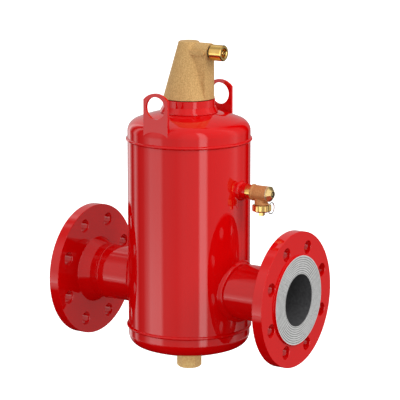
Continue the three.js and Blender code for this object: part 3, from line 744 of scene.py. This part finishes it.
def vent_fittings():
    """The turned outlet fitting with its washer and nipple."""
    end, r = OUTLET.x1, OUTLET.z1 - OUTLET.z
    floor, start, shoulder = end - 7.0, 24.3, BOSS_END + 1.6
    thread, groove, mouth = OUTLET_BORE - 0.3, r - 1.9, 5.8
    barrel = lathe("vent_outlet_fine", [
        (PASSAGE, start), (thread, start), (thread, shoulder), (groove, shoulder, 0.2),
        (groove, shoulder + 1.2, 0.2), (r, shoulder + 1.9, 0.3), (r, end - 1.0, 0.5),
        (r - 1.0, end, 0.4), (mouth + 1.1, end, 0.3), (mouth, end - 1.1, 0.3), (mouth, floor),
        (PASSAGE, floor)], 128, 0.25)
    washer = turned_ring("outlet_washer_fine", OUTLET_BORE, 8.8, BOSS_END + 0.1, BOSS_END + 1.4,
                         SMALL_SIDES, 0.25)
    tip, low, step = end - 1.0, floor + 0.2, floor + 1.6
    nipple = lathe("outlet_nipple_fine", [
        (PASSAGE, low), (4.4, low), (4.4, step), (3.0, step), (3.0, tip - 0.6), (2.4, tip),
        (1.7, tip), (PASSAGE, tip - 0.6)], SMALL_SIDES, 0.2)
    for piece, node, slot, material in (
            (barrel, "vent_outlet", "polished_brass", BRASS_X),
            (washer, "outlet_washer", "rubber", RUBBER),
            (nipple, "outlet_nipple", "polished_brass", BRASS_X)):
        along_x(piece, (0, 0, BOSS_Z))
        shown(piece, ROOT, [node], [material])


def vent_seal():
    """The ring that seals the casting on the neck."""
    seal = turned_ring("vent_seal_fine", NECK_BORE + 0.3, 33.0, VENT_BASE + 0.1, VENT_BASE + 1.0,
                       128, 0.2)
    shown(seal, ROOT, ["vent_seal"], [RUBBER])


# ------------------------------------------------------------------ skim cock

AXIS_Z = SOCKET.z                      # height of the cock's own axis
BRANCH_X = CAP.x                       # axis of the downward branch
COLLAR_X = 102.2                       # where the casting starts behind its turned neck
CHAMBER_X, CHAMBER_R = 107.0, 6.3      # where the valve chamber starts, and its radius
PACKING_START, PACKING_END = 127.4, 129.9   # the O-ring's groove inside the bonnet
WATERWAY = 4.0                         # radius of the cock's inlet and outlet holes
COUNTERBORE_R = 4.1                    # the recess round the spindle's square end
SQUARE_LENGTH = 2.4                    # how far the square end stands out of the spindle
EAR_R = 2.8                            # half width of the eye that holds the wire ring


def skim_socket():
    tube = saddle_tube("skim_socket_fine", SOCKET.y1, SKIM_BORE, SOCKET.x1, AXIS_Z)
    shown(tube, ROOT, ["skim_socket"], [RED])
    saddle_weld("skim_socket_weld_fine", "skim_socket_weld", SOCKET.y1, 3.0, AXIS_Z)


def cock_neck(radius):
    """The turned neck and thread behind the casting."""
    shoulder, end, thread = SOCKET.x1 + 0.2, COLLAR_X + 0.3, 7.3
    neck = lathe("cock_neck_fine", [
        (WATERWAY, COCK.x0), (thread, COCK.x0), (thread, shoulder), (radius, shoulder),
        (radius, end), (WATERWAY, end)], SMALL_SIDES, 0.2)
    shown(along_x(neck, (0, 0, AXIS_Z)), ROOT, [], [BRASS_X])


def cock_branch(radius, top):
    """The branch, which narrows and leans back as it rises to the barrel's height."""
    rise_to, narrow, lean, steps, sides = -5.0, 6.8, 4.0, 6, 64
    sections = []
    for k in range(steps + 1):
        t = k / steps
        r = radius + (narrow - radius) * t
        z = top + (rise_to - top) * t
        sections.append([(BRANCH_X - lean * t + r * math.cos(TAU * i / sides),
                          r * math.sin(TAU * i / sides), z) for i in range(sides)])
    return swept("branch", sections, closed_path=False)


def cock_body():
    """Cast body: collar, barrel, and a branch that leans down to the hose outlet."""
    collar_r, r, root_r, end = COCK.y1, 10.3, 9.8, COCK.x1
    sunk, collar_end = COLLAR_X - 1, COLLAR_X + 2.4
    body = lathe("cock_body_fine", [
        (0, sunk), (root_r - 0.8, sunk), (root_r - 0.8, COLLAR_X), (collar_r, COLLAR_X),
        (collar_r, collar_end), (r, collar_end + 0.8), (r, end), (0, end)], SMALL_SIDES)
    along_x(body)
    cock_neck(root_r)
    top = CAP.z1 - AXIS_Z + 0.3
    spigot = rod("spigot", 7.4, COCK.z0 - AXIS_Z, top + 1)
    join(body, cock_branch(root_r, top), moved(spigot, (BRANCH_X, 0, 0)))
    chamber = along_x(rod("chamber", CHAMBER_R, CHAMBER_X, end + 5, TINY_SIDES))
    inlet = along_x(rod("inlet", WATERWAY, CHAMBER_X - 17, CHAMBER_X + 3, 32))
    outlet = moved(rod("outlet", WATERWAY, -30, 0, 32), (BRANCH_X, 0, 0))
    cut(body, chamber, inlet, outlet)
    cast(body, 0.32, 4, 0.08)
    moved(body, (0, 0, AXIS_Z))
    shown(body, ROOT, ["cock_body"], [BRONZE], CAST_CREASE)


def painted_shade_inside(piece, radius, limit):
    """Painted shade: the dark bore material on faces near the cock's axis, short of a limit along X,
    down the bonnet's bore and on the spindle's stem.
    """
    for polygon in piece.data.polygons:
        x, y, z = polygon.center / MM
        if math.hypot(y, z - AXIS_Z) < radius and x < limit:
            polygon.material_index = 1


def cock_bonnet(start, r):
    """The bonnet: six facets cut on a cone, a round skirt, a shank and the spindle's bore."""
    end, nose, skirt = BONNET.x1 + 0.4, 4.9, start + 2.0
    bonnet = lathe("cock_bonnet_fine", [
        (0, skirt - 0.4), (r + 1.4, skirt - 0.4), (nose + 0.9, end), (0, end)], 6)
    moved(bonnet, turn=("Z", 30))
    limit = lathe("limit", [(0, start), (r, start), (r, skirt + 0.3), (nose + 0.5, end),
                            (0, end)], SMALL_SIDES)
    combine(bonnet, limit, "INTERSECT")
    join(bonnet, rod("skirt", r, start, skirt, SMALL_SIDES),
         rod("shank", 6.0, BONNET.x0, start + 1, TINY_SIDES))
    cut(bonnet, rod("passage", 3.4, BONNET.x0 - 5, end + 5, TINY_SIDES),
        rod("counterbore", COUNTERBORE_R, SPINDLE.x1 - SQUARE_LENGTH, end + 5, TINY_SIDES),
        rod("groove", 5.0, PACKING_START, PACKING_END, TINY_SIDES))
    return bevelled(bonnet, 0.22, 2, 12)


def cock_spindle():
    """The spindle: a flange that carries the washer, a stem and a square end."""
    low, high = SPINDLE.x0, SPINDLE.x1 - SQUARE_LENGTH
    flange_r, stem_r, half = 4.5, 2.7, 1.8
    spindle = lathe("cock_spindle_fine", [
        (0, low), (flange_r, low), (flange_r, low + 1.5), (stem_r, low + 1.5), (stem_r, high),
        (0, high)], 64)
    square = block("square", (-half, half), (-half, half), (SPINDLE.x1 - 4, SPINDLE.x1))
    return bevelled(join(spindle, square), 0.25, 2)


def cock_end():
    """Bonnet, spindle, gasket, O-ring and valve washer, all on the cock's axis."""
    start, r = COCK.x1 + 0.9, 10.4
    bonnet, spindle = cock_bonnet(start, r), cock_spindle()
    gasket = turned_ring("cock_gasket_fine", 6.6, r - 0.2, COCK.x1 + 0.1, start - 0.1,
                         SMALL_SIDES, 0.3)
    steps, middle = 20, (PACKING_START + PACKING_END) / 2
    oring = lathe("spindle_oring_fine", [
        (3.9 + 0.8 * math.cos(TAU * k / steps), middle + 0.9 * math.sin(TAU * k / steps))
        for k in range(steps)], 64)
    washer = turned_ring("cock_washer_fine", 0, 5.0, CHAMBER_X + 0.3, CHAMBER_X + 2.5, 64, 0.3)
    for piece, node, body, slot, material in (
            (bonnet, "cock_bonnet", ROOT, "polished_brass", BRASS_END),
            (spindle, "cock_spindle", "cock_spindle", "polished_brass", BRASS_END),
            (gasket, "cock_gasket", ROOT, "gasket_fibre", FIBRE),
            (oring, "spindle_oring", ROOT, "rubber", RUBBER),
            (washer, "cock_washer", "cock_washer", "rubber", RUBBER)):
        along_x(piece, (0, 0, AXIS_Z))
        shown(piece, body, [node], [material, BORE_SHADE], 25)
    # Painted shade down the bonnet's bore and on the spindle's stem.
    painted_shade_inside(bonnet, COUNTERBORE_R + 0.1, BONNET.x1)
    painted_shade_inside(spindle, COUNTERBORE_R, SPINDLE.x1 - SQUARE_LENGTH + 0.1)


def lobed_rim(bottom, top, valley):
    """The cap's knurled outside: six lobes, rounded off at the lower and the upper edge."""
    lobe, lobes, steps = 13.0, 6, 144
    levels = ((bottom, 1.5), (bottom + 0.35, 0.75), (bottom + 1.1, 0.15), (bottom + 1.8, 0.0),
              (top - 1.4, 0.0), (top - 0.8, 0.15), (top - 0.25, 0.6), (top, 1.1))
    sections = []
    for height, inset in levels:
        ring = []
        for i in range(steps):
            angle = TAU * i / steps
            wave = 1 - abs(math.cos(lobes * angle / 2)) ** 4
            radius = valley + (lobe - valley) * wave - inset
            ring.append((radius * math.cos(angle), radius * math.sin(angle), height))
        sections.append(ring)
    return swept("hose_cap_fine", sections, closed_path=False)


def hose_cap():
    """Lobed cap with a square key below it and an eye at the back for the wire ring."""
    washer_z, valley, key, socket, half = Span("cap_washer").z0, 11.3, 3.15, 1.95, 1.24
    top, bottom = CAP.z1, washer_z - 2.5
    cap = lobed_rim(bottom, top, valley)
    eye_y, eye_z = CAP.y1 - EAR_R, bottom + 1.3
    ear = block("ear", (-EAR_R, EAR_R), (valley - 2, eye_y), (eye_z - half, eye_z + half))
    ear_end = rod("ear_end", EAR_R, eye_z - half, eye_z + half, TINY_SIDES)
    join(cap, block("key", (-key, key), (-key, key), (CAP.z0, bottom + 1)), ear,
         moved(ear_end, (0, eye_y, 0)))
    cut(cap, rod("inside", 7.7, bottom + 2.2, top + 5, SMALL_SIDES),
        block("socket", (-socket, socket), (-socket, socket), (CAP.z0 - 2, bottom - 0.5)),
        moved(rod("eye", 1.8, eye_z - 5, eye_z + 5, 32), (0, eye_y, 0)))
    bevelled(cap, 0.22, 2, 40)
    moved(cap, (BRANCH_X, 0, 0))
    shown(cap, "hose_cap", ["hose_cap"], [BRASS_Z], FINE_CREASE)
    washer = turned_ring("cap_washer_fine", 0, 7.1, washer_z, washer_z + 0.7, 64)
    moved(washer, (BRANCH_X, 0, 0))
    shown(washer, "cap_washer", ["cap_washer"], [RUBBER])


def wire_ring():
    """A wire ring with its two cut ends meeting."""
    wire, gap, steps, sides = 0.8, 1.2, 120, 16
    middle = Vector((RING.x, RING.y, RING.z))
    radius = (RING.z1 - RING.z0) / 2 - wire
    sections = []
    for i in range(steps + 1):
        angle = math.radians(-90 + gap + (360 - 2 * gap) * i / steps)
        out = Vector((0, math.cos(angle), math.sin(angle)))
        size = wire * (0.75 if i in (0, steps) else 1.0)
        sections.append([
            middle + out * radius + (out * math.cos(a) + Vector((1, 0, 0)) * math.sin(a)) * size
            for a in [TAU * k / sides for k in range(sides)]])
    ring = swept("cap_ring_fine", sections, closed_path=False)
    shown(ring, "cap_ring", ["cap_ring"], [STAINLESS], SOFT_CREASE)


# ------------------------------------------------------------------ drain

def drain_plug():
    """Rough cast hexagon with chamfered corners and its thread, and the ring that seals it."""
    half_flats, thread, low, high = 15.0, 10.4, PLUG.z0, DRAIN.z0 - 1.6
    corner = half_flats * 2 / math.sqrt(3)
    plug = moved(rod("drain_plug_fine", corner, low, high, 6), turn=("Z", 30))
    wide = half_flats + 3
    chamfer = lathe("chamfer", [
        (0, low), (half_flats - 0.4, low), (wide, low + 2.2), (wide, high - 1.5),
        (half_flats + 1, high), (0, high)], SMALL_SIDES)
    combine(plug, chamfer, "INTERSECT")
    join(plug, rod("thread", thread, high - 1, PLUG.z1))
    cast(plug, 0.4, 4, 0.08)
    # The plug takes the lighter copy of the brass, painted light.
    shown(plug, "drain_plug", ["drain_plug"], [LIT_CAST_BRASS], CAST_CREASE)
    seal = turned_ring("drain_seal_fine", thread + 0.3, 14.2, high + 0.2, DRAIN.z0 - 0.1,
                       SMALL_SIDES, 0.3)
    shown(seal, "drain_seal", ["drain_seal"], [RUBBER])


def drain_socket():
    outer, bore, face, top = 15.2, 10.75, DRAIN.z0, DRAIN.z1
    socket = lathe("drain_socket_fine", [
        (bore, face), (outer, face, 0.5), (outer, top), (bore, top)], SMALL_SIDES, 0.3)
    shown(socket, ROOT, ["drain_socket"], [RED])


# ------------------------------------------------------------------ packing

def packing_ring(node):
    """A punched ring: a thin tube with two rows of windows."""
    span = Span(node)
    outer, wall, windows, half = span.x1 - span.x, 1.2, 5, 7
    ring = turned_ring(node + "_fine", outer - wall, outer, span.z0, span.z1, 40)
    turn = 360 / windows
    for row, start in ((0.28, 0), (0.72, turn / 2)):
        level = span.z0 + row * (span.z1 - span.z0)
        for i in range(windows):
            window = block("cutter", (outer - 6, outer + 3), (-6, 6), (level - half, level + half))
            cut(ring, moved(window, turn=("Z", start + turn * i)))
    moved(ring, (span.x, span.y, 0))
    shown(ring, ROOT, [node], [STAINLESS])


# ------------------------------------------------------------------ carried-over CAD nodes

SLOT_MATERIAL = {
    "red_paint": RED, "cast_brass": CAST_BRASS, "polished_brass": BRASS_Z, "bronze": BRONZE,
    "stainless": STAINLESS, "bare_steel": SEAL_FACE, "float_plastic": FLOAT_PLASTIC,
    "rubber": RUBBER, "gasket_fibre": FIBRE,
}


def dress_cad_nodes():
    """Every CAD node that stays visible gets its slot's procedural material."""
    for row in frame["record"]["subparts"]:
        node = frame["nodes"][row["node"]]
        node.data.materials.clear()
        node.data.materials.append(SLOT_MATERIAL[row["material_slot"]])


# ------------------------------------------------------------------ stage, lights and camera

def camera():
    """The product view: from the front left of the outlet, a little above."""
    azimuth, elevation = math.radians(32.707), math.radians(11.801)
    distance, target = 2.71842, Vector((0.012616, 0.0081, 0.117248))
    back = Vector((math.sin(azimuth) * math.cos(elevation),
                   -math.cos(azimuth) * math.cos(elevation), math.sin(elevation)))
    data = bpy.data.cameras.new("camera")
    data.sensor_width = 36.0
    data.lens = 178.28
    data.dof.use_dof = False
    rig = bpy.data.objects.new("camera", data)
    bpy.context.scene.collection.objects.link(rig)
    rig.location = target + back * distance
    rig.rotation_euler = back.to_track_quat("Z", "Y").to_euler()
    bpy.context.scene.camera = rig


def soft_light(name, azimuth, elevation, distance, size, power):
    """A soft box aimed at the vessel's middle that lights without showing in the gloss."""
    a, e = math.radians(azimuth), math.radians(elevation)
    out = Vector((math.sin(a) * math.cos(e), -math.cos(a) * math.cos(e), math.sin(e)))
    data = bpy.data.lights.new(name, "AREA")
    data.shape = "RECTANGLE"
    data.size, data.size_y = size
    data.energy = power
    lamp = bpy.data.objects.new(name, data)
    lamp.visible_glossy = False
    bpy.context.scene.collection.objects.link(lamp)
    lamp.location = Vector((0, 0, 0.1)) + out * distance
    lamp.rotation_euler = out.to_track_quat("Z", "Y").to_euler()


# What the gloss reflects, round the studio: (azimuth in degrees, brightness).  Upright soft
# boxes stand at the left and right of the camera, with darker gaps between them, and the
# left one is brightest low down.
STUDIO_SIDES = [
    (-180, 0.25), (-170, 0.2), (-124, 0.8), (-114, 1.8), (-107, 0.6), (-101, 0.08), (-95, 0.08),
    (-90, 0.9), (-86, 1.5), (-82, 0.8), (-76, 0.1), (-62, 0.25),
]
STUDIO_BACK = [
    (69, 0.5), (112, 0.6), (130, 0.95), (138, 0.5), (143, 0.4), (150, 0.28), (156, 0.28),
    (168, 0.0),
]
UPPER_BANDS = STUDIO_SIDES + [
    (-50, 0.6), (-44, 0.9), (-22, 0.9), (-16, 0.6), (10, 0.5), (22, 0.7), (50, 0.7), (54, 2.6),
    (64, 2.6)] + STUDIO_BACK
LOWER_BANDS = STUDIO_SIDES + [
    (-50, 1.4), (-44, 2.5), (-22, 2.5), (-16, 0.65), (10, 0.5), (22, 0.7), (50, 0.7), (54, 3.3),
    (64, 3.3)] + STUDIO_BACK
BAND_TOP = 3.5                         # brightness that the ramps' white stands for
AMBIENT_BELOW, AMBIENT_ABOVE = 0.5, 1.0   # the even light from the floor and from the ceiling
OVERHEAD, EDGE = 0.6, 1.1              # what the gloss reflects overhead, and low at the wall's foot


def math_node(tree, operation, first, second=None):
    node = tree.nodes.new("ShaderNodeMath")
    node.operation = operation
    for socket, value in zip(node.inputs, (first, second)):
        if isinstance(value, (int, float)):
            socket.default_value = value
        elif value is not None:
            tree.links.new(value, socket)
    return node.outputs["Value"]


def mixed(tree, factor, first, second):
    """A colour mix; each input is a socket or a grey number."""
    node = tree.nodes.new("ShaderNodeMix")
    node.data_type = "RGBA"
    tree.links.new(factor, node.inputs["Factor"])
    for socket, value in zip((node.inputs[6], node.inputs[7]), (first, second)):
        if isinstance(value, (int, float)):
            socket.default_value = (value, value, value, 1)
        else:
            tree.links.new(value, socket)
    return node.outputs[2]


def studio_world():
    """White to the eye, an even light on the object, and soft boxes in its reflections.

    The ramps over height run from 0, straight down, to 1, straight up.
    """
    world = bpy.data.worlds.new("studio")
    bpy.context.scene.world = world
    world.use_nodes = True
    tree = world.node_tree
    background = tree.nodes["Background"]
    place = tree.nodes.new("ShaderNodeTexCoord")
    axes = tree.nodes.new("ShaderNodeSeparateXYZ")
    tree.links.new(place.outputs["Generated"], axes.inputs[0])
    back = math_node(tree, "MULTIPLY", axes.outputs["Y"], -1.0)
    angle = math_node(tree, "ARCTAN2", axes.outputs["X"], back)
    turn = math_node(tree, "ADD", math_node(tree, "DIVIDE", angle, TAU), 0.5)
    upper, lower = (
        ramp(tree, turn, [(a / 360 + 0.5, level / BAND_TOP) for a, level in bands])
        for bands in (UPPER_BANDS, LOWER_BANDS))
    height = math_node(tree, "ADD", math_node(tree, "MULTIPLY", axes.outputs["Z"], 0.5), 0.5)
    low = ramp(tree, height, [(0.371, 1.0), (0.396, 0.57), (0.422, 0.4), (0.5, 0.0)])
    overhead = ramp(tree, height, [(0.86, 0.0), (0.96, 1.0)])
    edge = ramp(tree, height, [(0.334, 0.0), (0.338, 1.0), (0.349, 1.0), (0.354, 0.0)])
    above = ramp(tree, height, [(0.27, 0.01), (0.334, 0.6), (0.34, 1.0)])
    walls = mixed(tree, overhead, mixed(tree, low, upper, lower), OVERHEAD / BAND_TOP)
    room = mixed(tree, above, 0.0, mixed(tree, edge, walls, EDGE / BAND_TOP))
    ambient = ramp(tree, height, [
        (0.4, AMBIENT_BELOW / BAND_TOP), (0.6, AMBIENT_ABOVE / BAND_TOP)])
    rays = tree.nodes.new("ShaderNodeLightPath")
    seen = mixed(tree, rays.outputs["Is Glossy Ray"], ambient, room)
    seen = mixed(tree, rays.outputs["Is Camera Ray"], seen, 1.0 / BAND_TOP)
    tree.links.new(seen, background.inputs["Color"])
    background.inputs["Strength"].default_value = BAND_TOP


FLOOR_SIZE, FLOOR_Z = 80, -0.42        # metres; the vessel hangs well above it


def stage():
    """A plain white floor below the hanging vessel, the studio world and two soft boxes."""
    bpy.ops.mesh.primitive_plane_add(size=FLOOR_SIZE, location=(0, 0, FLOOR_Z))
    floor = bpy.context.object
    floor.name = "floor"
    floor.visible_glossy = False
    floor.visible_diffuse = False
    floor.visible_shadow = False
    material, tree, shader, place = node_tree("pale_floor")
    tint = ramp(tree, noise_at(tree, place, 1.5, 2.0), [(0.3, 0.88), (0.7, 0.92)])
    tree.links.new(tint, shader.inputs["Base Color"])
    shader.inputs["Roughness"].default_value = 0.9
    shader.inputs["Emission Color"].default_value = (1, 1, 1, 1)
    shader.inputs["Emission Strength"].default_value = 0.6
    floor.data.materials.append(material)
    studio_world()
    soft_light("key_box", 95, 35, 2.5, (1.2, 1.2), 25)
    soft_light("front_box", 25, 15, 2.5, (1.2, 1.2), 8)


# ------------------------------------------------------------------ assembly

dress_cad_nodes()
vessel_shell()
vessel_heads()
girth_bead("top_girth_weld", TOP_BEAD)
girth_bead("bottom_girth_weld", BOTTOM_BEAD)
connection(-1, "inlet")
connection(1, "outlet")
lifting_lug("lifting_lug_front", -1)
lifting_lug("lifting_lug_back", 1)
vent_neck()
vent_body()
vent_pad()
vent_fittings()
vent_seal()
skim_socket()
cock_body()
cock_end()
hose_cap()
wire_ring()
drain_plug()
drain_socket()
for node in sorted(frame["nodes"]):
    if node.startswith("packing_ring_"):
        packing_ring(node)
stage()
camera()
bpy.context.scene.view_settings.view_transform = "Standard"
